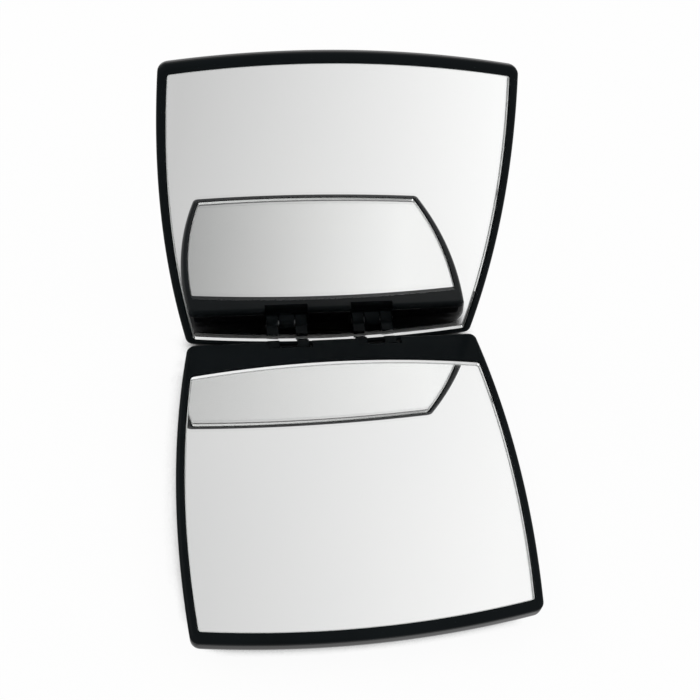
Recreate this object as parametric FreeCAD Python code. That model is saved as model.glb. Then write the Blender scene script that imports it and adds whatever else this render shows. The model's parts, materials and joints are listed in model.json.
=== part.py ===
import FreeCAD, Part
import math
import os

from FreeCAD import Vector

# A pocket compact with two mirrors: a base and a lid, each a moulded frame in a pillow-shaped shell.
# Millimetres, +Z up, hinge at +Y, origin in the middle of the base's underside, lid open.

# Case outline, seen from above
case_width = 68.0             # across the widest place of the bowed sides
case_depth = 67.3             # from the middle of the front edge to the base's rear edge
widest_at = -2.75             # Y of the widest place
side_radius = 215.0
front_radius = 205.0
base_rear_radius = 5000.0     # as good as straight, for the hinge to sit along it
lid_rear_radius = 240.0
lid_overhang = 0.4            # lid past the base at the rear, in the middle
corner_radius = 1.8

# Heights and the pillow shape
base_height = 7.8
lid_height = 6.4
rim_gap = 0.25                # between the two rims when shut
rim_thickness = 1.2           # the seam between frame and shell lies this far below the rim
edge_round = 0.9              # rounding of the rim's outer edge
round_bands = 3               # ruled bands that make the rounding
base_wall_drop = 1.4          # upright wall below the seam, before the side turns under
lid_wall_drop = 0.1
dome_inset = 8.0              # from the sides and the front in to the flat of the outside
dome_rear_inset = 3.8
dome_corner_growth = 2.0      # corners get softer towards the flat
dome_bands = 6                # ruled bands that make the turn

# Shells
shell_skin = 1.3
cavity_bands = 2
shell_lip = 0.9               # thin edge of the shell that the frame drops into
lid_rear_lip = 0.6
seam_fit = 0.05

# Mirrors, their pockets and the tape behind them
rim_width = 1.7
base_rim_front = 2.05
lid_rim_front = 1.75
hinge_band = 5.9              # plain band between the base mirror and the rear edge
lid_rim_rear = 1.25
mirror_front_radius = 203.0
base_mirror_rear_radius = 209.0
lid_mirror_rear_radius = 228.0
mirror_corner = 0.7
mirror_recess = 0.4
mirror_thickness = 1.1
mirror_bevel = 0.15
pocket_clearance = 0.12
pocket_floor = 0.6
tape_thickness = 0.3
tape_margin = 5.0             # from the mirror's edges to the tape's, which are straight

# Bar magnets that hold the case shut, in cups under the glass
magnet_length = 10.0
magnet_width = 4.0
magnet_thickness = 2.0
magnet_from_side = 16.0       # to the magnet's middle
magnet_from_front = 12.0
magnet_fit = 0.05
cup_wall = 1.0
cup_floor = 0.4

# Hinges: a knuckle on the base between two arms of the lid, twice
hinge_inset = 1.2             # axis in front of the base's rear edge
hinge_drop = 4.2              # axis below the base's rim
hinge_spread = 9.6            # from the middle, to each hinge
knuckle_width = 3.4
arm_width = 2.6
arm_front = 0.7               # arm's faces, in front of the axis and behind it
arm_rear = 0.95
barrel_radius = 2.0
pin_diameter = 1.5
pin_clearance = 0.03
side_clearance = 0.2
swing_clearance = 0.25
block_reach = 4.6             # solid block in front of the axis, under the band
block_cheek = 1.6             # block past the notches, to each side
rest_opening = 101.4          # degrees from shut

# Worked out from the above
front_y = -case_depth / 2
rear_y = case_depth / 2
axis_y = rear_y - hinge_inset
axis_z = base_height - hinge_drop
pocket_depth = mirror_recess + mirror_thickness + tape_thickness
tray_depth = pocket_depth + pocket_floor
notch_width = knuckle_width + 2 * (side_clearance + arm_width + swing_clearance)
pin_length = knuckle_width + 2 * (side_clearance + arm_width)
swing_radius = barrel_radius + swing_clearance
beyond = case_depth           # long enough to cut right through

BASE_OUTLINE = {
    "half": case_width / 2, "front": front_y, "rear": rear_y, "corner": corner_radius,
    "side_radius": side_radius, "front_radius": front_radius, "rear_radius": base_rear_radius,
}
LID_OUTLINE = dict(BASE_OUTLINE, rear=rear_y + lid_overhang, rear_radius=lid_rear_radius)


def inset(outline, sides, front=None, rear=None, corner=None):
    """The outline with its edges moved inwards, as parallel arcs."""
    front = sides if front is None else front
    rear = sides if rear is None else rear
    return {
        "half": outline["half"] - sides,
        "front": outline["front"] + front,
        "rear": outline["rear"] - rear,
        "corner": max(outline["corner"] - sides, mirror_corner) if corner is None else corner,
        "side_radius": outline["side_radius"] - sides,
        "front_radius": outline["front_radius"] - front,
        "rear_radius": outline["rear_radius"] - rear,
    }


def meeting_point(centre_a, radius_a, centre_b, radius_b, towards):
    """Where two circles in the XY plane cross, on the side that lies further in the direction given."""
    between = centre_b - centre_a
    along = (radius_a ** 2 - radius_b ** 2 + between.Length ** 2) / (2 * between.Length)
    across = math.sqrt(radius_a ** 2 - along ** 2)
    step = Vector(between).normalize()
    square = Vector(-step.y, step.x, 0)
    choices = [centre_a + step * along + square * across, centre_a + step * along - square * across]
    return max(choices, key=lambda point: point.dot(towards))


def outline_wire(outline, level):
    """Four bowed edges joined by round corners, anticlockwise from the front edge."""
    side_x = outline["half"] - outline["side_radius"]
    edges = [
        (Vector(0, outline["front"] + outline["front_radius"], level), outline["front_radius"]),
        (Vector(side_x, widest_at, level), outline["side_radius"]),
        (Vector(0, outline["rear"] - outline["rear_radius"], level), outline["rear_radius"]),
        (Vector(-side_x, widest_at, level), outline["side_radius"]),
    ]
    corners = [Vector(1, -1, 0), Vector(1, 1, 0), Vector(-1, 1, 0), Vector(-1, -1, 0)]
    turn = outline["corner"]
    leaves, arrives, rounds = [], [], []
    for index, towards in enumerate(corners):
        (centre_a, radius_a), (centre_b, radius_b) = edges[index], edges[(index + 1) % 4]
        centre = meeting_point(centre_a, radius_a - turn, centre_b, radius_b - turn, towards)
        out_a = (centre - centre_a).normalize()
        out_b = (centre - centre_b).normalize()
        leaves.append(centre_a + out_a * radius_a)
        arrives.append(centre_b + out_b * radius_b)
        rounds.append(centre + (out_a + out_b).normalize() * turn)
    pieces = []
    for index, (centre, radius) in enumerate(edges):
        start, end = arrives[index - 1], leaves[index]
        middle = centre + ((start - centre) + (end - centre)).normalize() * radius
        pieces.append(Part.Arc(start, middle, end).toShape())
        pieces.append(Part.Arc(end, rounds[index], arrives[index]).toShape())
    return Part.Wire(pieces)


def slab(outline, bottom, top):
    return Part.Face(outline_wire(outline, bottom)).extrude(Vector(0, 0, top - bottom))


def block(x, y, z):
    """A box between pairs of limits."""
    return Part.makeBox(x[1] - x[0], y[1] - y[0], z[1] - z[0], Vector(x[0], y[0], z[0]))


def rod(radius, x, y, z):
    """A cylinder along X between two limits."""
    return Part.makeCylinder(radius, x[1] - x[0], Vector(x[0], y, z), Vector(1, 0, 0))


def edges_at(solid, level):
    """Edges that lie flat at one level."""
    box = [(edge, edge.BoundBox) for edge in solid.Edges]
    return [edge for edge, size in box if abs(size.ZMin - level) < 1e-6 and abs(size.ZMax - level) < 1e-6]


def rolled(outline, levels, sides, rear, growth, bands):
    """Upright between two levels, then rolled in along a quarter ellipse to a flat at the third."""
    start, turn, flat = levels
    sections = [outline_wire(outline, start)]
    for band in range(bands + 1):
        angle = math.pi / 2 * band / bands
        share = 1 - math.cos(angle)
        shape = inset(outline, sides * share, rear=rear * share, corner=outline["corner"] + growth * share)
        sections.append(outline_wire(shape, turn + (flat - turn) * math.sin(angle)))
    return Part.makeLoft(sections, True, True)


# Each half is made with its rim at Z 0 and its outside below


def mirror_outline(outline, rim_front, rim_rear, rear_radius):
    shape = inset(outline, rim_width, rim_front, rim_rear, mirror_corner)
    return dict(shape, front_radius=mirror_front_radius, rear_radius=rear_radius)


BASE_MIRROR = mirror_outline(BASE_OUTLINE, base_rim_front, hinge_band, base_mirror_rear_radius)
LID_MIRROR = mirror_outline(LID_OUTLINE, lid_rim_front, lid_rim_rear, lid_mirror_rear_radius)
BASE_WALL = rim_thickness + base_wall_drop
LID_WALL = rim_thickness + lid_wall_drop
MAGNET_PLACES = {
    "left": (magnet_from_side - case_width / 2, front_y + magnet_from_front),
    "right": (case_width / 2 - magnet_from_side, front_y + magnet_from_front),
}


def cavity(outline, wall, height, spare=0.0):
    """The hollow of a shell, or with some spare the space for what drops into it."""
    room = inset(outline, shell_skin + spare, corner=corner_radius - shell_skin + dome_corner_growth)
    levels = (-rim_thickness, -wall, -height + shell_skin + spare)
    return rolled(room, levels, dome_inset, dome_rear_inset, 0.0, cavity_bands)


def shell(outline, wall, height, rear_lip):
    levels = (-rim_thickness, -wall, -height)
    outside = rolled(outline, levels, dome_inset, dome_rear_inset, dome_corner_growth, dome_bands)
    seat = inset(outline, shell_lip, rear=rear_lip)
    mouth = slab(seat, -tray_depth - seam_fit, -rim_thickness)
    return outside.cut([cavity(outline, wall, height), mouth])


def magnet(place, margin=0.0, floor=0.0):
    """A magnet under the tape, or with a margin and a floor the block around it."""
    x, y = place
    along = magnet_length / 2 + margin
    across = magnet_width / 2 + margin
    depth = pocket_depth + magnet_thickness + floor
    return block((x - along, x + along), (y - across, y + across), (-depth, -pocket_depth))


def tray(outline, mirror, rear_lip):
    """Rim and mirror pocket in one, with a cup for each magnet."""
    levels = (-rim_thickness, -edge_round, 0)
    rim = rolled(outline, levels, edge_round, edge_round, -edge_round, round_bands)
    tongue = inset(outline, shell_lip + seam_fit, rear=rear_lip + seam_fit)
    solid = rim.fuse(slab(tongue, -tray_depth, -rim_thickness))
    for place in MAGNET_PLACES.values():
        solid = solid.fuse(magnet(place, magnet_fit + cup_wall, cup_floor))
    pocket = inset(mirror, -pocket_clearance, corner=mirror_corner + pocket_clearance)
    solid = solid.cut(slab(pocket, -pocket_depth, beyond))
    for place in MAGNET_PLACES.values():
        solid = solid.cut(magnet(place, magnet_fit))
    return solid


def glass(mirror):
    """Mirror plate with its front edge ground to a narrow bevel."""
    plate = slab(mirror, -mirror_recess - mirror_thickness, -mirror_recess)
    return plate.makeChamfer(mirror_bevel, edges_at(plate, -mirror_recess))


def tape(mirror):
    """A straight-cut sheet between the glass and the pocket's floor."""
    half = mirror["half"] - tape_margin
    y = (mirror["front"] + tape_margin, mirror["rear"] - tape_margin)
    return block((-half, half), y, (-pocket_depth, -pocket_depth + tape_thickness))


# Hinges, in the base's place


def hinge_sides(middle):
    """X limits of each arm beside a knuckle."""
    near = knuckle_width / 2 + side_clearance
    far = near + arm_width
    return [(middle - far, middle - near), (middle + near, middle + far)]


def notch(middle, spare=0.0):
    """Room in the base's rear edge for the two arms to swing in."""
    x = (middle - notch_width / 2 - spare, middle + notch_width / 2 + spare)
    above = block(x, (axis_y - arm_front - swing_clearance, axis_y + beyond), (axis_z, axis_z + beyond))
    behind = block(x, (axis_y, axis_y + beyond), (axis_z - swing_radius, axis_z))
    return above.fuse([behind, rod(swing_radius, x, axis_y, axis_z)])


def base_knuckle(middle, room):
    """A barrel on the axis, with a root that reaches forward into the shell's hollow."""
    x = (middle - knuckle_width / 2, middle + knuckle_width / 2)
    root = block(x, (axis_y - block_reach, axis_y), (axis_z - barrel_radius, axis_z + barrel_radius))
    clear = room.fuse(rod(swing_radius - seam_fit, x, axis_y, axis_z))
    return rod(barrel_radius, x, axis_y, axis_z).fuse(root.common(clear))


def lid_arm(x):
    """An arm on the shut lid: an eye on the axis and a neck up to the rim."""
    rim_z = base_height + rim_gap
    neck = block(x, (axis_y - arm_front, axis_y + arm_rear), (axis_z, rim_z + rim_thickness))
    eye = rod(barrel_radius, x, axis_y, axis_z)
    return eye.fuse(neck).cut(rod(pin_diameter / 2, x, axis_y, axis_z))


def hinge_pin(middle):
    return rod(pin_diameter / 2, (middle - pin_length / 2, middle + pin_length / 2), axis_y, axis_z)


# The two frames with their hinge parts


def raised(shape):
    """From a half's own place to the base's."""
    return shape.translated(Vector(0, 0, base_height))


def shut(shape):
    """From a half's own place to the lid's, turned over on top of the base."""
    turned = shape.copy()
    turned.rotate(Vector(0, 0, 0), Vector(0, 1, 0), 180)
    return turned.translated(Vector(0, 0, base_height + rim_gap))


def opened(shape):
    turned = shape.copy()
    turned.rotate(Vector(0, axis_y, axis_z), Vector(-1, 0, 0), rest_opening)
    return turned


HINGES = {"left": -hinge_spread, "right": hinge_spread}


def base_frame():
    solid = raised(tray(BASE_OUTLINE, BASE_MIRROR, shell_lip))
    reach = hinge_spread + notch_width / 2 + block_cheek
    room = raised(cavity(BASE_OUTLINE, BASE_WALL, base_height, seam_fit))
    under_band = block((-reach, reach), (axis_y - block_reach, rear_y), (0, base_height - pocket_depth))
    solid = solid.fuse(under_band.common(room))
    for middle in HINGES.values():
        solid = solid.cut(notch(middle)).fuse(base_knuckle(middle, room))
        bore_x = (middle - pin_length / 2, middle + pin_length / 2)
        solid = solid.cut(rod(pin_diameter / 2 + pin_clearance, bore_x, axis_y, axis_z))
    return solid.removeSplitter()


def base_shell():
    solid = raised(shell(BASE_OUTLINE, BASE_WALL, base_height, shell_lip))
    windows = [notch(middle, seam_fit) for middle in HINGES.values()]
    return solid.cut(windows)


def lid_frame():
    solid = shut(tray(LID_OUTLINE, LID_MIRROR, lid_rear_lip))
    pocket_edge = shut(slab(inset(LID_MIRROR, -pocket_clearance, corner=mirror_corner), -pocket_depth, 0))
    for middle in HINGES.values():
        for x in hinge_sides(middle):
            solid = solid.fuse(lid_arm(x).cut(pocket_edge))
    return solid.removeSplitter()


parts = {
    "base_shell": base_shell(),
    "base_frame": base_frame(),
    "base_mirror": raised(glass(BASE_MIRROR)),
    "base_mirror_tape": raised(tape(BASE_MIRROR)),
    "lid_shell": opened(shut(shell(LID_OUTLINE, LID_WALL, lid_height, lid_rear_lip))),
    "lid_frame": opened(lid_frame()),
    "lid_mirror": opened(shut(glass(LID_MIRROR))),
    "lid_mirror_tape": opened(shut(tape(LID_MIRROR))),
}
for side, place in MAGNET_PLACES.items():
    parts["base_magnet_" + side] = raised(magnet(place))
    over = (-place[0], place[1])
    parts["lid_magnet_" + side] = opened(shut(magnet(over)))
for side, middle in HINGES.items():
    parts["hinge_pin_" + side] = opened(hinge_pin(middle))

os.makedirs("parts", exist_ok=True)
for name, shape in parts.items():
    shape.exportStep("parts/" + name + ".step")
    state = "valid" if shape.isValid() else "INVALID"
    print(name, len(shape.Solids), "solid", round(shape.Volume, 2), "mm3", state)
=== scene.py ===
# %% [markdown]
# A pocket compact with two mirrors, opened on its base. The construction is already there as exact
# solids, and this lesson dresses it: each moulded half is made again as a smooth mesh over its solid,
# each mirror as a plate of real glass, and every surface gets the material that it was made of.
# The frame comes first, because every piece takes its place and its motion from it.

# %% Load the frame
import json
import math
from collections import namedtuple

import bmesh
import bpy
import numpy as np
from mathutils import Matrix, Quaternion, Vector


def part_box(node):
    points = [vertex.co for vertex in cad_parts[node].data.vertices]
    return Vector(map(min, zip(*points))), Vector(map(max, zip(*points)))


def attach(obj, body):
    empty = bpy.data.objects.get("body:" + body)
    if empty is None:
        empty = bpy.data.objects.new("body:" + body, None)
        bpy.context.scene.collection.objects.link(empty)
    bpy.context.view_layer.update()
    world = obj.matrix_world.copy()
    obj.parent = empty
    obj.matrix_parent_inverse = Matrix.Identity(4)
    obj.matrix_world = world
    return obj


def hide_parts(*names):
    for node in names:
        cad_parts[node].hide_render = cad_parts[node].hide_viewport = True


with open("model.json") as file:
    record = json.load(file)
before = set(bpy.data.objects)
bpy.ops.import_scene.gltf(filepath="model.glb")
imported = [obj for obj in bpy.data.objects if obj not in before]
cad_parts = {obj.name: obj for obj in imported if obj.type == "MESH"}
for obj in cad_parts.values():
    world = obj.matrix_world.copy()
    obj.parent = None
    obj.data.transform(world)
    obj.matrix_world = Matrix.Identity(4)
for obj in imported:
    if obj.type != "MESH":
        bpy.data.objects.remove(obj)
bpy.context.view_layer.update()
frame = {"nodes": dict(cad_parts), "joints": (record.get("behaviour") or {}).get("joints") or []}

MM = 0.001              # the frame is in metres, and the sizes here are in millimetres
hinge = frame["joints"][0]
axis_y = hinge["pos_m"][1] / MM
axis_z = hinge["pos_m"][2] / MM
rest_opening = -hinge["range_deg"][0]
print("hinge axis at", round(axis_y, 2), round(axis_z, 2), "mm, lid open", rest_opening, "degrees")

# %% [markdown]
# The camera comes before any looks, so that each render can be laid beside the photograph. It stands
# above the front left of the case and is turned a little about its own line of sight. The photograph
# is a crop whose middle isn't on the lens axis, and the small shift stands for that.

# %% Camera
camera_place = Vector((-24.34, -97.62, 179.02))
camera_aim = Vector((16.75, 22.80, 0.30))
camera_roll = math.radians(12.33)

lens = bpy.data.cameras.new("camera")
lens.lens = 51.87       # mm, for a sensor 36 mm wide
lens.sensor_width = 36.0
lens.shift_x = -0.0926
lens.shift_y = 0.0640
lens.clip_start = 0.01
camera = bpy.data.objects.new("camera", lens)
bpy.context.scene.collection.objects.link(camera)
camera.location = camera_place * MM
camera.rotation_mode = "QUATERNION"
sight = (camera_aim - camera_place).to_track_quat("-Z", "Y")
camera.rotation_quaternion = sight @ Quaternion((0, 0, 1), camera_roll)
bpy.context.scene.camera = camera
print("camera", round((camera_aim - camera_place).length), "mm from its aim")

# %% [markdown]
# Two helpers serve every material. Colours are written as the sRGB hex values that a paint chart
# would give, and one function turns them into the linear values that shaders work in. The other adds
# a node: settings are its attributes, and an input is either a value or the socket that feeds it.


# %% Helpers for materials
def linear(hex_colour):
    channels = [int(hex_colour[place:place + 2], 16) / 255 for place in (1, 3, 5)]
    return [c / 12.92 if c <= 0.04045 else ((c + 0.055) / 1.055) ** 2.4 for c in channels] + [1.0]


def add_node(tree, kind, settings=None, inputs=None):
    node = tree.nodes.new(kind)
    for name, value in (settings or {}).items():
        setattr(node, name, value)
    for name, value in (inputs or {}).items():
        if isinstance(value, bpy.types.NodeSocket):
            tree.links.new(value, node.inputs[name])
        else:
            node.inputs[name].default_value = value
    return node


def new_material(name):
    """An empty material, with the socket that gives places on the object in metres."""
    material = bpy.data.materials.new(name)
    material.use_nodes = True
    tree = material.node_tree
    tree.nodes.clear()
    places = add_node(tree, "ShaderNodeTexCoord").outputs["Object"]
    return material, tree, places


def per_metre(size_mm):
    """Texture scale at which one cell of the pattern is this large."""
    return 1 / (size_mm * MM)


print("mid grey #808080 is", round(linear("#808080")[0], 3), "in linear light")

# %% [markdown]
# Both halves of the case are black ABS, injection moulded in polished steel. Such a surface is a
# near mirror, apart from the faint waviness that shrinking plastic leaves, called orange peel, and
# the hairlines and finger grease of use. It could be a glossy shader with one roughness, but then a
# reflection would be too perfect. Here the waviness is a very low bump, and the polish varies over
# the surface. The flat rims show far less of the room than the shells do, so each has its own gloss.


# %% Moulded black ABS
def polished_abs(name, gloss, deep, pale):
    """Black ABS from a polished mould: deep black that shows the room only as a faint sheen."""
    material, tree, places = new_material(name)
    wave_mm = 3.5           # orange peel, from crest to crest
    wave_height_mm = 0.004
    smudge_mm = 11.0        # as wide as a fingertip
    hairline_mm = 0.35      # scratches are a tenth of this, too fine to show
    hairline_turn = (0.0, 0.0, 0.5)
    hairline_draw = (0.04, 1.0, 0.3)    # drawn out, because a cloth or a pocket rubs mostly one way
    waves = add_node(tree, "ShaderNodeTexNoise", None,
                     {"Vector": places, "Scale": per_metre(wave_mm), "Detail": 1.0})
    smudges = add_node(tree, "ShaderNodeTexNoise", None,
                       {"Vector": places, "Scale": per_metre(smudge_mm), "Detail": 3.0})
    drawn_out = add_node(tree, "ShaderNodeMapping", None,
                         {"Vector": places, "Rotation": hairline_turn, "Scale": hairline_draw})
    hairlines = add_node(tree, "ShaderNodeTexNoise", None, {
        "Vector": drawn_out.outputs["Vector"], "Scale": per_metre(hairline_mm), "Detail": 2.0})
    worn = add_node(tree, "ShaderNodeMapRange", None, {
        "Value": hairlines.outputs["Fac"], "From Min": 0.66, "From Max": 0.85, "To Max": 0.08})
    greasy = add_node(tree, "ShaderNodeMapRange", None, {
        "Value": smudges.outputs["Fac"], "From Min": 0.35, "From Max": 0.70,
        "To Min": 0.05, "To Max": 0.11})
    polish = add_node(tree, "ShaderNodeMath", {"operation": "ADD"},
                      {0: worn.outputs["Result"], 1: greasy.outputs["Result"]})
    tint = add_node(tree, "ShaderNodeValToRGB", None, {"Fac": smudges.outputs["Fac"]})
    tint.color_ramp.elements[0].color = linear(deep)
    tint.color_ramp.elements[1].color = linear(pale)
    peel = add_node(tree, "ShaderNodeBump", None,
                    {"Height": waves.outputs["Fac"], "Strength": 0.35, "Distance": wave_height_mm * MM})
    shader = add_node(tree, "ShaderNodeBsdfPrincipled", None, {
        "Base Color": tint.outputs["Color"], "Roughness": polish.outputs["Value"],
        "Normal": peel.outputs["Normal"], "IOR": 1.54, "Specular IOR Level": gloss,
    })
    add_node(tree, "ShaderNodeOutputMaterial", None, {"Surface": shader.outputs["BSDF"]})
    return material


shell_abs = polished_abs("abs_black_polished", gloss=0.25, deep="#060607", pale="#0c0d0f")
rim_abs = polished_abs("abs_black_satin_rim", gloss=0.02, deep="#0e1112", pale="#15191b")
print("plastics:", shell_abs.name, rim_abs.name)

# %% [markdown]
# A compact's mirror is thin float glass, silvered on the back, cut, and broken along the sharp edge of
# its face. Painting a plate as polished metal would lose what tells glass from foil: light that runs
# into the cut edge from inside is thrown back, so the edge is a bright line. So the plate is real
# glass with three finishes: clear on face and cut edge, ground on the narrow bevel, silver behind.
# The clear glass has almost no colour at this thickness, only the faint cloud of the melt, or ream.


# %% Clear glass
def float_glass():
    """Clear float glass: colourless when thin, with a second faint reflection from the face."""
    material, tree, places = new_material("float_glass_clear")
    ream_mm = 25.0
    ream = add_node(tree, "ShaderNodeTexNoise", None, {"Vector": places, "Scale": per_metre(ream_mm)})
    tint = add_node(tree, "ShaderNodeValToRGB", None, {"Fac": ream.outputs["Fac"]})
    tint.color_ramp.elements[0].color = linear("#fdfefe")
    tint.color_ramp.elements[1].color = linear("#fefefe")
    shader = add_node(tree, "ShaderNodeBsdfPrincipled", None, {
        "Base Color": tint.outputs["Color"], "Roughness": 0.0, "IOR": 1.52, "Transmission Weight": 1.0,
    })
    add_node(tree, "ShaderNodeOutputMaterial", None, {"Surface": shader.outputs["BSDF"]})
    return material


clear_glass = float_glass()
print("mirror face and cut edge:", clear_glass.name)

# %% [markdown]
# The sharp edge of the face is broken on a grinding belt, which leaves the glass rough. A part of the
# light is scattered back there and a part goes through, so the line is pale from outside and from
# inside alike. A white paint would be pale from outside only, so the shader lets a share through.


# %% Ground glass
def ground_glass():
    """Glass left rough by the grinding belt: a pale line, lit from outside and through the glass."""
    material, tree, places = new_material("float_glass_ground")
    grit_mm = 0.15          # the belt's grit is about a third of this, too fine to show
    tooth_mm = 0.02
    grit = add_node(tree, "ShaderNodeTexNoise", None, {"Vector": places, "Scale": per_metre(grit_mm)})
    tint = add_node(tree, "ShaderNodeValToRGB", None, {"Fac": grit.outputs["Fac"]})
    tint.color_ramp.elements[0].color = linear("#dde4e0")
    tint.color_ramp.elements[1].color = linear("#f7f9f8")
    tooth = add_node(tree, "ShaderNodeBump", None,
                     {"Height": grit.outputs["Fac"], "Strength": 0.5, "Distance": tooth_mm * MM})
    shader = add_node(tree, "ShaderNodeBsdfPrincipled", None, {
        "Base Color": tint.outputs["Color"], "Roughness": 0.5, "IOR": 1.52, "Transmission Weight": 0.6,
        "Normal": tooth.outputs["Normal"],
    })
    add_node(tree, "ShaderNodeOutputMaterial", None, {"Surface": shader.outputs["BSDF"]})
    return material


rough_glass = ground_glass()
print("mirror bevel:", rough_glass.name)

# %% [markdown]
# The back of the glass is silvered in a bath. That gives a metal with no grain and nearly no colour,
# so its only pattern is how evenly the bath ran off. It lies behind the glass, so all that the mirror
# shows passes through the clear face twice.


# %% Silver
def silvering():
    """Silver laid down wet on clean glass: the brightest mirror, with no grain of its own."""
    material, tree, places = new_material("silver_mirror_coat")
    bath_mm = 30.0
    bath = add_node(tree, "ShaderNodeTexNoise", None, {"Vector": places, "Scale": per_metre(bath_mm)})
    tint = add_node(tree, "ShaderNodeValToRGB", None, {"Fac": bath.outputs["Fac"]})
    tint.color_ramp.elements[0].color = linear("#fcfcfc")
    tint.color_ramp.elements[1].color = linear("#fefefd")
    shader = add_node(tree, "ShaderNodeBsdfPrincipled", None, {
        "Base Color": tint.outputs["Color"], "Metallic": 1.0, "Roughness": 0.0,
    })
    add_node(tree, "ShaderNodeOutputMaterial", None, {"Surface": shader.outputs["BSDF"]})
    return material


mirror_finishes = [clear_glass, rough_glass, silvering()]
CLEAR, GROUND, SILVER = range(3)
print("mirror finishes:", [finish.name for finish in mirror_finishes])

# %% [markdown]
# Seen from above, the case is a square with four bowed edges and round corners. It could be drawn as
# a subdivided square, but the exact solid under it is made of arcs, and the mesh must lie on that.
# So an outline is four arcs and a corner radius, and moving its edges inwards gives parallel arcs. The
# lid's rear edge is bowed like the rest, and the base's is as good as straight for the hinge.

# %% Outlines
Outline = namedtuple("Outline", "half front rear corner side_radius front_radius rear_radius")

shell_low, shell_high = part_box("base_shell")
half_width = shell_high.x / MM
front_y = shell_low.y / MM
rear_y = shell_high.y / MM
base_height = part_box("base_frame")[1].z / MM
widest_at = -2.75       # Y of the widest place
side_radius = 215.0
front_radius = 205.0
base_rear_radius = 5000.0
lid_rear_radius = 240.0
lid_overhang = 0.4      # lid past the base at the rear, in the middle
corner_radius = 1.8
mirror_corner = 0.7

BASE = Outline(half_width, front_y, rear_y, corner_radius, side_radius, front_radius, base_rear_radius)
LID = BASE._replace(rear=rear_y + lid_overhang, rear_radius=lid_rear_radius)


def inset(outline, sides, front=None, rear=None, corner=None):
    """The outline with its edges moved inwards, as parallel arcs."""
    front = sides if front is None else front
    rear = sides if rear is None else rear
    if corner is None:
        corner = max(outline.corner - sides, mirror_corner)
    return Outline(outline.half - sides, outline.front + front, outline.rear - rear, corner,
                   outline.side_radius - sides, outline.front_radius - front, outline.rear_radius - rear)


print("case outline", round(2 * half_width, 2), "x", round(rear_y - front_y, 2), "mm")

# %% [markdown]
# A ring turns an outline into points at one level. Each edge and each corner always gets the same
# number of points, whatever the outline, and that lets any two rings be joined by quads. A corner is
# an arc that touches both edges, so its centre lies where two circles of smaller radius cross.

# %% Rings
EDGE_STEPS = 36
CORNER_STEPS = 10


def meeting_point(centre_a, radius_a, centre_b, radius_b, towards):
    """Where two circles cross, on the side that lies further in the direction given."""
    between = centre_b - centre_a
    span = np.hypot(*between)
    along = (radius_a ** 2 - radius_b ** 2 + span ** 2) / (2 * span)
    across = math.sqrt(radius_a ** 2 - along ** 2)
    step = between / span
    square = np.array((-step[1], step[0]))
    choices = [centre_a + step * along + square * across, centre_a + step * along - square * across]
    return max(choices, key=lambda point: point @ towards)


def arc(centre, start, end, steps):
    """Points from start to just before end, the short way round a centre."""
    first = math.atan2(*(start - centre)[::-1])
    last = math.atan2(*(end - centre)[::-1])
    sweep = (last - first + math.pi) % (2 * math.pi) - math.pi
    radius = np.hypot(*(start - centre))
    angles = [first + sweep * step / steps for step in range(steps)]
    return [centre + radius * np.array((math.cos(angle), math.sin(angle))) for angle in angles]


def ring(outline, level):
    """Points round an outline at one level, anticlockwise from the front edge's left end."""
    side_x = outline.half - outline.side_radius
    edges = [
        (np.array((0.0, outline.front + outline.front_radius)), outline.front_radius),
        (np.array((side_x, widest_at)), outline.side_radius),
        (np.array((0.0, outline.rear - outline.rear_radius)), outline.rear_radius),
        (np.array((-side_x, widest_at)), outline.side_radius),
    ]
    rounds = []
    for index, towards in enumerate(((1, -1), (1, 1), (-1, 1), (-1, -1))):
        (centre_a, radius_a), (centre_b, radius_b) = edges[index], edges[(index + 1) % 4]
        centre = meeting_point(centre_a, radius_a - outline.corner, centre_b, radius_b - outline.corner,
                               np.array(towards))
        leaves = centre + (centre - centre_a) / np.hypot(*(centre - centre_a)) * outline.corner
        arrives = centre + (centre - centre_b) / np.hypot(*(centre - centre_b)) * outline.corner
        rounds.append((centre, leaves, arrives))
    points = []
    for index, (centre, radius) in enumerate(edges):
        corner_centre, leaves, arrives = rounds[index]
        points += arc(centre, rounds[index - 1][2], leaves, EDGE_STEPS)
        points += arc(corner_centre, leaves, arrives, CORNER_STEPS)
    return [Vector((x, y, level)) for x, y in points]


print("a ring has", len(ring(BASE, 0.0)), "points")

# %% [markdown]
# A skin is a closed mesh through a list of rings: quads between neighbours, and a flat face on the
# first and on the last. A roll is the list of rings that turns an upright wall into a flat along a
# quarter of an ellipse. Both halves are made of them, with the rim at level 0 and the outside below.


# %% Skins and rolls
def turn_outwards(mesh):
    """Turns all faces the same way, and then all of them over if the volume comes out negative."""
    bmesh.ops.recalc_face_normals(mesh, faces=mesh.faces)
    if mesh.calc_volume(signed=True) < 0:
        bmesh.ops.reverse_faces(mesh, faces=mesh.faces)


def new_piece(name, mesh):
    """An object in the scene from a mesh that is being built, with its faces turned outwards."""
    turn_outwards(mesh)
    data = bpy.data.meshes.new(name)
    mesh.to_mesh(data)
    mesh.free()
    piece = bpy.data.objects.new(name, data)
    bpy.context.scene.collection.objects.link(piece)
    return piece


def skin(name, rings):
    """A closed piece through rings, with a flat on the first and on the last."""
    mesh = bmesh.new()
    loops = [[mesh.verts.new(point) for point in points] for points in rings]
    for lower, upper in zip(loops, loops[1:]):
        for index in range(len(lower)):
            mesh.faces.new((lower[index - 1], lower[index], upper[index], upper[index - 1]))
    mesh.faces.new(loops[0])
    mesh.faces.new(reversed(loops[-1]))
    return new_piece(name, mesh)


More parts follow.
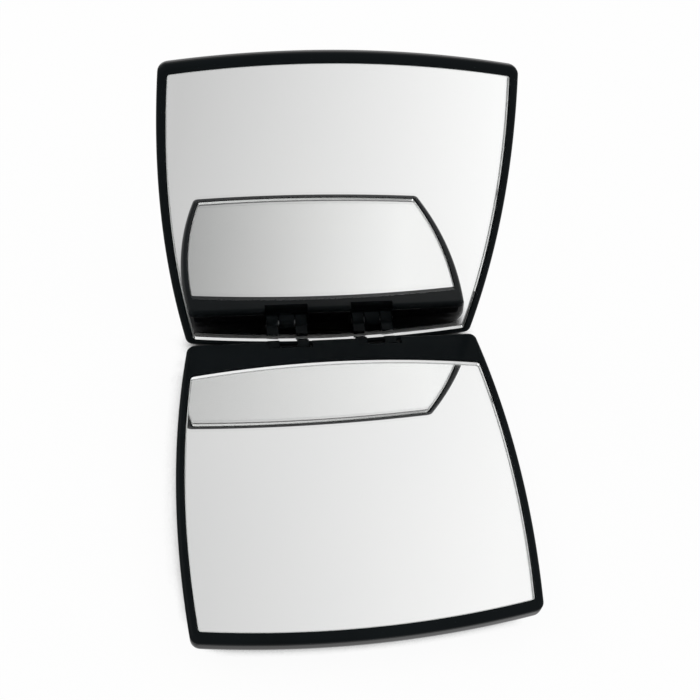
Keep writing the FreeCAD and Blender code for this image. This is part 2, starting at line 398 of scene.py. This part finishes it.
def roll(outline, turn, flat, sides, rear=None, growth=0.0, steps=8, start=0.0):
    """Rings from an upright wall at one level, round a quarter ellipse, to the flat at another."""
    rear = sides if rear is None else rear
    rings = []
    for step in range(steps + 1):
        angle = start + (math.pi / 2 - start) * step / steps
        share = 1 - math.cos(angle)
        shape = inset(outline, sides * share, rear=rear * share, corner=outline.corner + growth * share)
        rings.append(ring(shape, turn + (flat - turn) * math.sin(angle)))
    return rings


print("a roll has", len(roll(BASE, 0.0, -1.0, 1.0)), "rings unless told otherwise")

# %% [markdown]
# Hinge parts and magnet cups are prisms, joined to a skin or cut from it. Booleans suit them, because
# that is how a mould is made too: one cutter after another. The exact solver can leave a sliver or a
# missing facet, so each step ends with a weld and a fill, and the mesh stays closed. A fine bevel
# first breaks the edges of a part that stays in sight.

# %% Prisms and booleans
bevel_steps = 2
weld_reach = 0.0002     # corners nearer than this are one corner
largest_hole = 4        # sides of the largest hole that is filled
ROUND = (0, 350, 35)    # a whole circle in steps of 10 degrees, its last point not repeated


def prism(name, profile, x, bevel=0.0):
    """A closed prism along X between two limits, from points in the YZ plane."""
    mesh = bmesh.new()
    ends = [[mesh.verts.new((end, y, z)) for y, z in profile] for end in x]
    for index in range(len(profile)):
        mesh.faces.new((ends[0][index - 1], ends[0][index], ends[1][index], ends[1][index - 1]))
    mesh.faces.new(ends[0])
    mesh.faces.new(reversed(ends[1]))
    if bevel:
        rims = [edge for edge in mesh.edges if abs(edge.verts[0].co.x - edge.verts[1].co.x) < bevel]
        bmesh.ops.bevel(mesh, geom=rims, offset=bevel, segments=bevel_steps, affect="EDGES", profile=0.5)
    return new_piece(name, mesh)


def block(y, z):
    """Profile of a block between pairs of limits."""
    return [(y[0], z[0]), (y[1], z[0]), (y[1], z[1]), (y[0], z[1])]


def hinge_arc(radius, first, last, steps=28):
    """Points of an arc round the hinge axis, from one angle to another, in degrees from the rear."""
    turns = [math.radians(first + (last - first) * step / steps) for step in range(steps + 1)]
    return [(axis_y + radius * math.cos(turn), axis_z + radius * math.sin(turn)) for turn in turns]


def combine(piece, tool, operation):
    """Joins, cuts or trims a piece with another mesh, which is used up."""
    step = piece.modifiers.new("step", "BOOLEAN")
    step.operation = operation
    step.solver = "EXACT"
    step.object = tool
    bpy.context.view_layer.update()
    result = bpy.data.meshes.new_from_object(piece.evaluated_get(bpy.context.evaluated_depsgraph_get()))
    piece.modifiers.clear()
    piece.data = result
    bpy.data.objects.remove(tool)
    mesh = bmesh.new()
    mesh.from_mesh(result)
    bmesh.ops.remove_doubles(mesh, verts=mesh.verts, dist=weld_reach)
    bmesh.ops.holes_fill(mesh, edges=mesh.edges, sides=largest_hole)
    turn_outwards(mesh)
    mesh.to_mesh(result)
    mesh.free()


print("a hinge circle has", len(hinge_arc(1.0, *ROUND)), "points")

# %% [markdown]
# A finished mesh is scaled to metres and put in its place. Its faces are shaded smooth, apart from edges
# that turn sharply, and normals are weighted by area, so that a flat stays flat up to the rounding beside
# it. Then the piece is tied to the body it moves with and given its list of finishes, and the solid that
# it stands for is hidden.

# %% Places of the two halves
rim_gap = 0.25          # between the rims, when the case is shut
sharp_turn = math.radians(35)

raised = Matrix.Translation((0, 0, base_height))
shut = Matrix.Translation((0, 0, base_height + rim_gap)) @ Matrix.Rotation(math.pi, 4, "Y")
on_axis = Matrix.Translation((0, axis_y, axis_z))
opened = on_axis @ Matrix.Rotation(-math.radians(rest_opening), 4, "X") @ on_axis.inverted()


def settle(piece, body, node, finishes, place):
    """Puts a finished mesh in its place, ties it to its body, gives it its finishes and hides its solid.
    """
    piece.data.transform(Matrix.Scale(MM, 4) @ place)
    piece.data.polygons.foreach_set("use_smooth", [True] * len(piece.data.polygons))
    piece.data.set_sharp_from_angle(angle=sharp_turn)
    weigh = piece.modifiers.new("flats stay flat", "WEIGHTED_NORMAL")
    weigh.keep_sharp = True
    for finish in finishes:
        piece.data.materials.append(finish)
    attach(piece, body)
    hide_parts(node)
    print(piece.name, len(piece.data.polygons), "faces, on", body, "for", node)


print("rim of the base at", round(base_height, 2), "mm, lid", rim_gap, "mm above it when shut")

# %% [markdown]
# Each shell is one thin moulding, pillow-shaped outside, with a lip that the frame drops into. Read
# from the outside flat: up the round side, over the lip, down inside, to the inner flat. The edge at
# the seam is broken a little, and with the frame's own edge that makes the fine groove between them.

# %% Shells
rim_thickness = 1.2     # the seam between frame and shell lies this far below the rim
base_wall = 2.6         # from the rim down to where the side turns under
lid_wall = 1.3
lid_height = 6.4
dome_inset = 8.0        # from the sides and the front in to the flat of the outside
dome_rear_inset = 3.8
dome_corner_growth = 2.0
dome_steps = 20
shell_skin = 1.3
hollow_steps = 12
shell_lip = 0.9         # thin edge of the shell that the frame drops into
lid_rear_lip = 0.6
seam_fit = 0.05
seam_break = 0.12       # rounding of the two edges at the seam
break_steps = 3
tray_depth = 2.4        # underside of the frame, below the rim


def shell_rings(outline, wall, height, rear_lip):
    """From the outside flat up the side, over the lip and down the inside, for a half with its rim up."""
    outside = roll(outline, -wall, -height, dome_inset, dome_rear_inset, dome_corner_growth, dome_steps)
    edge = roll(outline, -rim_thickness - seam_break, -rim_thickness, seam_break, steps=break_steps)
    seat = inset(outline, shell_lip, rear=rear_lip)
    floor = -tray_depth - seam_fit
    lip = [ring(seat, -rim_thickness), ring(seat, floor)]
    hollow = inset(outline, shell_skin, corner=corner_radius - shell_skin + dome_corner_growth)
    start = math.asin((floor + wall) / (shell_skin - height + wall))
    inside = roll(hollow, -wall, shell_skin - height, dome_inset, dome_rear_inset,
                  steps=hollow_steps, start=start)
    return outside[::-1] + edge + lip + inside


base_shell = skin("base_case", shell_rings(BASE, base_wall, base_height, shell_lip))
lid_shell = skin("lid_case", shell_rings(LID, lid_wall, lid_height, lid_rear_lip))
print("shells", len(base_shell.data.polygons), len(lid_shell.data.polygons), "faces")

# %% [markdown]
# The hinge is hidden in the rear edge. Twice, a knuckle of the base sits between two arms of the lid
# on a pin. The notch that they swing in is cut through frame and shell alike, so its profile is made
# once: upright in front of the arms, round below the axis, and open to the rear.

# %% Hinge sizes and notches
hinge_spread = 9.6      # from the middle, to each hinge
knuckle_width = 3.4
arm_width = 2.6
arm_front = 0.7         # arm's faces, in front of the axis and behind it
arm_rear = 0.95
barrel_radius = 2.0
pin_radius = 0.75
pin_clearance = 0.03
side_clearance = 0.2
swing_clearance = 0.25
edge_break = 0.15
beyond = 20.0           # long enough to cut right through
HINGES = (-hinge_spread, hinge_spread)


def about(middle, width):
    """Limits of a width about its middle."""
    return (middle - width / 2, middle + width / 2)


def notch(middle, spare=0.0):
    """Room in the base's rear edge for the two arms to swing in."""
    swing = barrel_radius + swing_clearance
    face = arm_front + swing_clearance
    meets = math.degrees(math.acos(-face / swing))
    profile = hinge_arc(swing, meets, 270) + [
        (axis_y + beyond, axis_z - swing), (axis_y + beyond, axis_z + beyond),
        (axis_y - face, axis_z + beyond)]
    width = knuckle_width + 2 * (side_clearance + arm_width + swing_clearance + spare)
    return prism("notch", profile, about(middle, width))


base_shell.data.transform(raised)
for middle in HINGES:
    combine(base_shell, notch(middle, seam_fit), "DIFFERENCE")
settle(base_shell, "base", "base_shell", [shell_abs], Matrix())
settle(lid_shell, "lid", "lid_shell", [shell_abs], opened @ shut)

# %% [markdown]
# A frame is the flat rim that shows, the pocket for the glass and the cups for the magnets, in one
# moulding. Its rings go from the underside up the tongue that sits in the shell, out to the seam,
# round the rim's outer edge, in over the flat, and down into the pocket. The edge of the pocket is
# broken like the seam, and that fine round is what draws the line of light beside the glass.

# %% Frames
edge_round = 0.9        # rounding of the rim's outer edge
rim_steps = 10
pocket_clearance = 0.12
pocket_depth = 1.8
rim_width = 1.7
base_rim_front = 2.05
lid_rim_front = 1.75
hinge_band = 5.9        # plain band between the base mirror and the rear edge
lid_rim_rear = 1.25
mirror_front_radius = 203.0
base_mirror_rear_radius = 209.0
lid_mirror_rear_radius = 228.0


def mirror_outline(outline, rim_front, rim_rear, rear_radius):
    """A plate's outline: the case's, moved in by the rim, with a front and a rear edge of its own."""
    shape = inset(outline, rim_width, rim_front, rim_rear, mirror_corner)
    return shape._replace(front_radius=mirror_front_radius, rear_radius=rear_radius)


BASE_MIRROR = mirror_outline(BASE, base_rim_front, hinge_band, base_mirror_rear_radius)
LID_MIRROR = mirror_outline(LID, lid_rim_front, lid_rim_rear, lid_mirror_rear_radius)


def pocket_outline(mirror):
    return inset(mirror, -pocket_clearance, corner=mirror_corner + pocket_clearance)


def frame_rings(outline, mirror, rear_lip):
    """From the underside up the tongue, out to the seam, over the rim and down into the pocket."""
    tongue = inset(outline, shell_lip + seam_fit, rear=rear_lip + seam_fit)
    underside = [ring(tongue, -tray_depth), ring(tongue, -rim_thickness)]
    seam = roll(outline, seam_break - rim_thickness, -rim_thickness, seam_break, steps=break_steps)
    rim = roll(outline, -edge_round, 0.0, edge_round, growth=-edge_round, steps=rim_steps)
    pocket = pocket_outline(mirror)
    brim = roll(pocket, -seam_break, 0.0, -seam_break, growth=seam_break, steps=break_steps)
    return underside + seam[::-1] + rim + brim[::-1] + [ring(pocket, -pocket_depth)]


base_frame = skin("base_rim", frame_rings(BASE, BASE_MIRROR, shell_lip))
lid_frame = skin("lid_rim", frame_rings(LID, LID_MIRROR, lid_rear_lip))
print("frames", len(base_frame.data.polygons), len(lid_frame.data.polygons), "faces")

# %% [markdown]
# Under the glass, toward the front corners, each frame has two cups with bar magnets that hold the
# case shut. They are out of sight, but the mesh is the part's own shape as well as its looks, so the
# cups are there: a block joined on below, and the magnet's own space cut out of it.

# %% Magnet cups
magnet_from_side = 16.0     # to the magnet's middle
magnet_from_front = 12.0
magnet_length = 10.0
magnet_width = 4.0
magnet_thickness = 2.0
magnet_fit = 0.05
cup_wall = 1.0
cup_floor = 0.4
bite = 0.3                  # how far a tool reaches past the face that it works on


def magnet_space(x, margin, floor, top):
    """The space of a magnet, or with a margin and a floor the block around it."""
    y = about(front_y + magnet_from_front, magnet_width + 2 * margin)
    z = (-pocket_depth - magnet_thickness - floor, top)
    return prism("magnet space", block(y, z), about(x, magnet_length + 2 * margin))


for tray in (base_frame, lid_frame):
    for x in (magnet_from_side - half_width, half_width - magnet_from_side):
        combine(tray, magnet_space(x, magnet_fit + cup_wall, cup_floor, -pocket_depth - bite), "UNION")
        combine(tray, magnet_space(x, magnet_fit, 0.0, -pocket_depth + bite), "DIFFERENCE")
print("cups for magnets of", magnet_length, "x", magnet_width, "x", magnet_thickness, "mm")

# %% [markdown]
# The base's share of the hinge is a block under the plain band, notched, with a knuckle left standing
# in each notch. The block and the knuckle's root fill the shell's hollow and no more, so they are
# trimmed by a skin of that hollow before they are joined on.

# %% Base hinge
block_reach = 4.6       # solid block in front of the axis, under the band
block_cheek = 1.6       # block past the notches, to each side
pin_length = knuckle_width + 2 * (side_clearance + arm_width)
root_step = 0.3         # the root stands back from the knuckle, so that no two faces coincide


def trimmed_to_hollow(name, y, z, x):
    """A block between pairs of limits, kept only where the base shell is hollow."""
    room = inset(BASE, shell_skin + seam_fit, corner=corner_radius - shell_skin + dome_corner_growth)
    floor = shell_skin + seam_fit - base_height
    turn_in = roll(room, -base_wall, floor, dome_inset, dome_rear_inset)
    hollow = skin("hollow", [ring(room, -rim_thickness)] + turn_in)
    hollow.data.transform(raised)
    piece = prism(name, block(y, z), x)
    combine(piece, hollow, "INTERSECT")
    return piece


base_frame.data.transform(raised)
block_width = 2 * (hinge_spread + swing_clearance + block_cheek) + pin_length
under_band = trimmed_to_hollow("block", (axis_y - block_reach, rear_y),
                               (0.0, base_height - pocket_depth - bite), about(0.0, block_width))
combine(base_frame, under_band, "UNION")
for middle in HINGES:
    combine(base_frame, notch(middle), "DIFFERENCE")
    x = about(middle, knuckle_width - 2 * root_step)
    z = about(axis_z, 2 * (barrel_radius - root_step))
    root = trimmed_to_hollow("root", (axis_y - block_reach + bite, axis_y), z, x)
    combine(base_frame, root, "UNION")
    knuckle = prism("knuckle", hinge_arc(barrel_radius, *ROUND), about(middle, knuckle_width), edge_break)
    combine(base_frame, knuckle, "UNION")
    bore_edge = hinge_arc(pin_radius + pin_clearance, *ROUND)
    combine(base_frame, prism("bore", bore_edge, about(middle, pin_length)), "DIFFERENCE")
settle(base_frame, "base", "base_frame", [rim_abs], Matrix())

# %% [markdown]
# The lid's share is four arms, each an eye round the pin and a neck up to the rim. They are made where
# they lie when the case is shut, because there the axis is upright below the lid's edge, and the whole
# frame is turned open afterwards. Where a neck would stand in the pocket, the glass has its room.

# %% Lid hinge
lid_frame.data.transform(shut)
neck_top = base_height + rim_gap + rim_thickness - 2 * seam_break
front_turn = math.degrees(math.acos(-arm_front / barrel_radius))
rear_turn = 360 + math.degrees(math.acos(arm_rear / barrel_radius))
arm_profile = hinge_arc(barrel_radius, front_turn, rear_turn) + [
    (axis_y + arm_rear, neck_top), (axis_y - arm_front, neck_top)]
room_edge = inset(pocket_outline(LID_MIRROR), -seam_break / 2)
pocket_room = [ring(room_edge, -pocket_depth), ring(room_edge, seam_fit)]

for middle in HINGES:
    for side in (-1, 1):
        x = about(middle + side * (knuckle_width / 2 + side_clearance + arm_width / 2), arm_width)
        arm = prism("arm", arm_profile, x, edge_break)
        room = skin("pocket", pocket_room)
        room.data.transform(shut)
        combine(arm, room, "DIFFERENCE")
        bore = prism("bore", hinge_arc(pin_radius, *ROUND), about(middle, 2 * pin_length))
        combine(arm, bore, "DIFFERENCE")
        combine(lid_frame, arm, "UNION")
settle(lid_frame, "lid", "lid_frame", [rim_abs], opened)

# %% [markdown]
# The mirror plates lie a little below the rims. A plate is a short skin: the silvered back, the cut
# side, the narrow bevel and the face. Which finish a face of the mesh takes follows from where it
# looks: down is silver, aslant is the ground bevel, and straight up or sideways is clear glass.

# %% Mirrors
mirror_recess = 0.4     # face of the glass, below the rim
mirror_thickness = 1.1
mirror_bevel = 0.15


def mirror_plate(name, mirror):
    """A plate of glass with a finish for each of its faces, in a half with its rim up."""
    bevel = inset(mirror, mirror_bevel, corner=mirror.corner)
    back = -mirror_recess - mirror_thickness
    plate = skin(name, [ring(mirror, back), ring(mirror, -mirror_recess - mirror_bevel),
                        ring(bevel, -mirror_recess)])
    for face in plate.data.polygons:
        upward = round(face.normal.z, 1)
        face.material_index = {-1.0: SILVER, 0.0: CLEAR, 1.0: CLEAR}.get(upward, GROUND)
    return plate


base_glass = mirror_plate("base_glass", BASE_MIRROR)
lid_glass = mirror_plate("lid_glass", LID_MIRROR)
settle(base_glass, "base", "base_mirror", mirror_finishes, raised)
settle(lid_glass, "lid", "lid_mirror", mirror_finishes, opened @ shut)

# %% [markdown]
# Glass this thin follows the moulded floor and the tape under it, so it is never quite flat. The bow
# is too slight to see in the plate, but it moves what the mirrors show by millimetres. Bending the
# mesh would need many faces for a tenth of a millimetre. Leaning the normals at the edges of face and
# silver does the same, because every point between takes its normal from them in proportion.


# %% Bow of the glass
def bow_plate(plate, bow_radius, lean_across, lean_along):
    """Leans the normals of both flats, evenly by angles in degrees and across by a bow's radius in mm."""
    plate.modifiers.clear()
    across = Vector((1, 0, 0))
    normals = [corner.vector.copy() for corner in plate.data.corner_normals]
    flats = [face for face in plate.data.polygons if len(face.vertices) > 4]
    for face in flats:
        way = 1 if face.material_index == SILVER else -1
        along = face.normal.cross(across)
        for corner in face.loop_indices:
            x = plate.data.vertices[plate.data.loops[corner].vertex_index].co.x / MM
            slope = math.radians(lean_across) + x / bow_radius
            normals[corner] = face.normal + way * across * slope + along * math.radians(lean_along)
    plate.data.normals_split_custom_set([normal.normalized() for normal in normals])
    print(plate.name, "bowed to a radius of", abs(bow_radius), "mm,", len(flats), "flats")


bow_plate(base_glass, bow_radius=2630.0, lean_across=-0.30, lean_along=-0.38)
bow_plate(lid_glass, bow_radius=-2100.0, lean_across=0.49, lean_along=0.0)

# %% [markdown]
# Each plate is held by a sheet of white foam tape. It is squeezed between glass and pocket, so its edge
# swells a little halfway up. The foam's cells are the pattern: a cell texture, drawn at their size, dents
# the surface and darkens the pits with painted shade.


# %% Foam tape
def foam_tape():
    """Closed-cell foam, cut from a roll: matt white, finely pitted, with painted shade in the pits."""
    material, tree, places = new_material("foam_tape_cut")
    cell_mm = 0.25
    pit_mm = 0.05
    cells = add_node(tree, "ShaderNodeTexVoronoi", None, {"Vector": places, "Scale": per_metre(cell_mm)})
    # Painted shade: the cell texture darkens the foam towards the bottoms of the pits.
    tint = add_node(tree, "ShaderNodeValToRGB", None, {"Fac": cells.outputs["Distance"]})
    tint.color_ramp.elements[0].color = linear("#d9d7cf")
    tint.color_ramp.elements[1].color = linear("#f0efe9")
    pits = add_node(tree, "ShaderNodeBump", None,
                    {"Height": cells.outputs["Distance"], "Strength": 0.6, "Distance": pit_mm * MM})
    shader = add_node(tree, "ShaderNodeBsdfPrincipled", None, {
        "Base Color": tint.outputs["Color"], "Roughness": 0.9, "Normal": pits.outputs["Normal"]})
    add_node(tree, "ShaderNodeOutputMaterial", None, {"Surface": shader.outputs["BSDF"]})
    return material


tape_margin = 5.0       # from the mirror's edges to the tape's
tape_thickness = 0.3
tape_corner = 0.5
tape_swell = 0.08
tape_steps = 4
glue_line = 0.02        # keeps the foam off the glass and the floor, so that no two faces coincide
straight = 1e5          # radius of an edge that is as good as straight
white_foam = foam_tape()


def tape_sheet(name, mirror):
    """A straight-cut sheet between glass and pocket, widest halfway up."""
    half = mirror.half - tape_margin
    sheet = Outline(half, mirror.front + tape_margin, mirror.rear - tape_margin, tape_corner,
                    straight, straight, straight)
    rings = []
    for step in range(tape_steps + 1):
        share = step / tape_steps
        squeeze = tape_swell * (2 * share - 1) ** 2
        shape = inset(sheet, squeeze, corner=tape_corner)
        rings.append(ring(shape, -pocket_depth + glue_line + (tape_thickness - 2 * glue_line) * share))
    return skin(name, rings)


settle(tape_sheet("base_tape", BASE_MIRROR), "base", "base_mirror_tape", [white_foam], raised)
settle(tape_sheet("lid_tape", LID_MIRROR), "lid", "lid_mirror_tape", [white_foam], opened @ shut)

# %% [markdown]
# Magnets and pins keep their exact solids, which are already what they are: cut bars and drawn wire.
# The bars are nickel plated, which is warm and slightly cloudy. The wire shows the fine lines of the
# die that it was pulled through, so its noise is drawn out along the pin.


# %% Nickel and steel
def plated_nickel():
    """Barrel-plated nickel: warm grey metal, softly clouded by tumbling."""
    material, tree, places = new_material("nickel_barrel_plated")
    cloud_mm = 1.2
    clouds = add_node(tree, "ShaderNodeTexNoise", None,
                      {"Vector": places, "Scale": per_metre(cloud_mm), "Detail": 4.0})
    tint = add_node(tree, "ShaderNodeValToRGB", None, {"Fac": clouds.outputs["Fac"]})
    tint.color_ramp.elements[0].color = linear("#b9b2a6")
    tint.color_ramp.elements[1].color = linear("#cdc7bb")
    polish = add_node(tree, "ShaderNodeMapRange", None,
                      {"Value": clouds.outputs["Fac"], "To Min": 0.14, "To Max": 0.30})
    shader = add_node(tree, "ShaderNodeBsdfPrincipled", None, {
        "Base Color": tint.outputs["Color"], "Metallic": 1.0, "Roughness": polish.outputs["Result"]})
    add_node(tree, "ShaderNodeOutputMaterial", None, {"Surface": shader.outputs["BSDF"]})
    return material


def drawn_steel():
    """Bright drawn wire: cool grey, with die lines along its length."""
    material, tree, places = new_material("steel_wire_drawn")
    line_mm = 0.1           # die lines are a tenth of this, too fine to show
    line_draw = (0.05, 1.0, 1.0)    # drawn out along the pin
    along = add_node(tree, "ShaderNodeMapping", None, {"Vector": places, "Scale": line_draw})
    lines = add_node(tree, "ShaderNodeTexNoise", None,
                     {"Vector": along.outputs["Vector"], "Scale": per_metre(line_mm), "Detail": 2.0})
    tint = add_node(tree, "ShaderNodeValToRGB", None, {"Fac": lines.outputs["Fac"]})
    tint.color_ramp.elements[0].color = linear("#8f9194")
    tint.color_ramp.elements[1].color = linear("#b4b6b8")
    shader = add_node(tree, "ShaderNodeBsdfPrincipled", None, {
        "Base Color": tint.outputs["Color"], "Metallic": 1.0, "Roughness": 0.3})
    add_node(tree, "ShaderNodeOutputMaterial", None, {"Surface": shader.outputs["BSDF"]})
    return material


for word, finish in {"magnet": plated_nickel(), "pin": drawn_steel()}.items():
    for name, node in frame["nodes"].items():
        if word in name:
            node.data.materials.clear()
            node.data.materials.append(finish)
            print(name, "in", finish.name)

# %% [markdown]
# The case stands on a plain white floor. The camera sees it almost as pure white, with a soft painted
# shadow under the case. In a mirror, the same floor shows a painted fall-off of light: greyer on the left
# than on the right, and the more so towards the front. One lamp could hardly give both, so the rays are
# told apart: those that come by way of gloss or glass meet that painted fall-off, and those straight from
# the camera plain white.

# %% Floor
floor_reach = 700.0
floor_sides = 96
fan_x = -41.0           # the painted shade fans out over the floor from a point behind the case
fan_y = 302.0
left_painted_shade = 0.575       # painted shade of the floor's glow to the left of that point
fan_gain = 1.47         # how fast it turns white to the right
floor_share = 0.94      # glow of the floor, the rest is lit like any white surface
shelter_reach = 16.0    # what is nearer than this counts for the painted shadow on the floor's glow
painted_shadow_lean = math.radians(25)       # the painted shadow falls as if most light came from above and a little from the front
sheltered = 0.46        # share of open sky under which the painted shadow is full, and from which the floor is white
unsheltered = 0.62


def ray_kinds(tree):
    """Sockets that are 1 for a ray straight from the camera, and for one by way of gloss or glass."""
    paths = add_node(tree, "ShaderNodeLightPath")
    by_mirror = add_node(tree, "ShaderNodeMath", {"operation": "MAXIMUM"},
                         {0: paths.outputs["Is Glossy Ray"], 1: paths.outputs["Is Transmission Ray"]})
    return paths.outputs["Is Camera Ray"], by_mirror.outputs["Value"]


def white_floor():
    """Matt white sweep that glows: white for the camera, with a painted fall-off of light for gloss and
    glass.
    """
    material, tree, places = new_material("paper_sweep_matt")
    parts = add_node(tree, "ShaderNodeSeparateXYZ", None, {"Vector": places})
    over = add_node(tree, "ShaderNodeMath", {"operation": "SUBTRACT"},
                    {0: parts.outputs["X"], 1: fan_x * MM})
    away = add_node(tree, "ShaderNodeMath", {"operation": "SUBTRACT"},
                    {0: fan_y * MM, 1: parts.outputs["Y"]})
    fan = add_node(tree, "ShaderNodeMath", {"operation": "DIVIDE"},
                   {0: over.outputs["Value"], 1: away.outputs["Value"]})
    # Painted fall-off of light: for gloss and glass the floor's glow is greyer to the left.
    tone = add_node(tree, "ShaderNodeMapRange", None, {
        "Value": fan.outputs["Value"], "From Max": (1 - left_painted_shade) / fan_gain, "To Min": left_painted_shade})
    by_camera, by_mirror = ray_kinds(tree)
    level = add_node(tree, "ShaderNodeMix", {"data_type": "FLOAT"},
                     {"Factor": by_mirror, "A": 1.0, "B": tone.outputs["Result"]})
    # Painted shadow: the floor's glow is darkened where the case shelters it from the open sky.
    painted_shadow_axis = add_node(tree, "ShaderNodeCombineXYZ", None,
                        {"Y": -math.sin(painted_shadow_lean), "Z": math.cos(painted_shadow_lean)})
    shelter = add_node(tree, "ShaderNodeAmbientOcclusion", None,
                       {"Distance": shelter_reach * MM, "Normal": painted_shadow_axis.outputs["Vector"]})
    open_share = add_node(tree, "ShaderNodeMapRange", None, {
        "Value": shelter.outputs["AO"], "From Min": sheltered, "From Max": unsheltered})
    open_glow = add_node(tree, "ShaderNodeMath", {"operation": "MULTIPLY"},
                         {0: level.outputs["Result"], 1: open_share.outputs["Result"]})
    glow = add_node(tree, "ShaderNodeEmission", None, {"Strength": open_glow.outputs["Value"]})
    paper = add_node(tree, "ShaderNodeBsdfDiffuse", None, {"Color": linear("#f4f4f3")})
    shown = add_node(tree, "ShaderNodeMath", {"operation": "MAXIMUM"}, {0: by_camera, 1: by_mirror})
    share = add_node(tree, "ShaderNodeMath", {"operation": "MULTIPLY"},
                     {0: shown.outputs["Value"], 1: floor_share})
    mix = add_node(tree, "ShaderNodeMixShader", None, {
        0: share.outputs["Value"], 1: paper.outputs["BSDF"], 2: glow.outputs["Emission"]})
    add_node(tree, "ShaderNodeOutputMaterial", None, {"Surface": mix.outputs["Shader"]})
    return material


sweep = bmesh.new()
bmesh.ops.create_circle(sweep, cap_ends=True, segments=floor_sides, radius=floor_reach * MM)
floor = new_piece("floor", sweep)
floor.data.materials.append(white_floor())
print("floor", 2 * floor_reach, "mm across")

# %% [markdown]
# Most of the light comes from a pale room all round. A picture of a room could stand there, but the
# mirrors ask for something simpler: soft tones that are greyest where the camera stands and rise to
# both sides. As on the floor, the camera sees plain white, and only gloss and glass see the tones.

# %% World
room_level = 0.8        # light of the room on matt surfaces
camera_side = -0.08     # X of the greyest direction, a little to the left, where the camera stands
sky_level = 0.507       # tone in that direction, overhead
sky_depth = 0.191       # brighter towards the back
side_gain = 1.53        # brighter towards both sides
side_depth = -1.01      # the more so towards the front
darkest = 0.42          # limits of the tone
brightest = 0.96


def studio():
    """A world that is white for the camera, pale for matt surfaces and toned for gloss and glass."""
    world = bpy.data.worlds.new("studio")
    world.use_nodes = True
    tree = world.node_tree
    tree.nodes.clear()
    towards = add_node(tree, "ShaderNodeTexCoord").outputs["Generated"]
    parts = add_node(tree, "ShaderNodeSeparateXYZ", None, {"Vector": towards})
    gain = add_node(tree, "ShaderNodeMath", {"operation": "MULTIPLY_ADD"},
                    {0: parts.outputs["Y"], 1: side_depth, 2: side_gain})
    middle = add_node(tree, "ShaderNodeMath", {"operation": "MULTIPLY_ADD"},
                      {0: parts.outputs["Y"], 1: sky_depth, 2: sky_level})
    across = add_node(tree, "ShaderNodeMath", {"operation": "SUBTRACT"},
                      {0: parts.outputs["X"], 1: camera_side})
    aside = add_node(tree, "ShaderNodeMath", {"operation": "ABSOLUTE"}, {0: across.outputs["Value"]})
    tone = add_node(tree, "ShaderNodeMath", {"operation": "MULTIPLY_ADD"},
                    {0: aside.outputs["Value"], 1: gain.outputs["Value"], 2: middle.outputs["Value"]})
    held = add_node(tree, "ShaderNodeClamp", None,
                    {"Value": tone.outputs["Value"], "Min": darkest, "Max": brightest})
    by_camera, by_mirror = ray_kinds(tree)
    seen = add_node(tree, "ShaderNodeMix", {"data_type": "FLOAT"},
                    {"Factor": by_mirror, "A": room_level, "B": held.outputs["Result"]})
    level = add_node(tree, "ShaderNodeMix", {"data_type": "FLOAT"},
                     {"Factor": by_camera, "A": seen.outputs["Result"], "B": 1.0})
    glow = add_node(tree, "ShaderNodeBackground", None,
                    {"Color": linear("#ffffff"), "Strength": level.outputs["Result"]})
    add_node(tree, "ShaderNodeOutputWorld", None, {"Surface": glow.outputs["Background"]})
    return world


bpy.context.scene.world = studio()
print("room at", room_level, "and mirrored tones from", darkest, "to", brightest)

# %% [markdown]
# Two large lamps give the gloss something to show: one behind the left shoulder of the case, and a
# weaker one to the right. They are squares, like soft boxes, because a point would leave a hard spot
# on the plastic, and they hang where neither mirror looks at them.

# %% Lamps
lamp_aim = Vector((0.0, 0.0, 0.03))     # metres, about halfway up the open case


def soft_lamp(name, place, side, power):
    """A square lamp that looks at the case. Place and side are in metres, the power in watts."""
    light = bpy.data.lights.new(name, "AREA")
    light.size = side
    light.energy = power
    lamp = bpy.data.objects.new(name, light)
    bpy.context.scene.collection.objects.link(lamp)
    lamp.location = place
    lamp.rotation_mode = "QUATERNION"
    lamp.rotation_quaternion = (lamp_aim - Vector(place)).to_track_quat("-Z", "Y")
    lamp.visible_camera = False
    print("lamp", name, power, "W,", side, "m square")


soft_lamp("lamp_left", (-0.50, 0.30, 0.45), side=0.40, power=0.8)
soft_lamp("lamp_right", (0.55, -0.10, 0.40), side=0.50, power=0.5)
bpy.context.scene.view_settings.view_transform = "Standard"
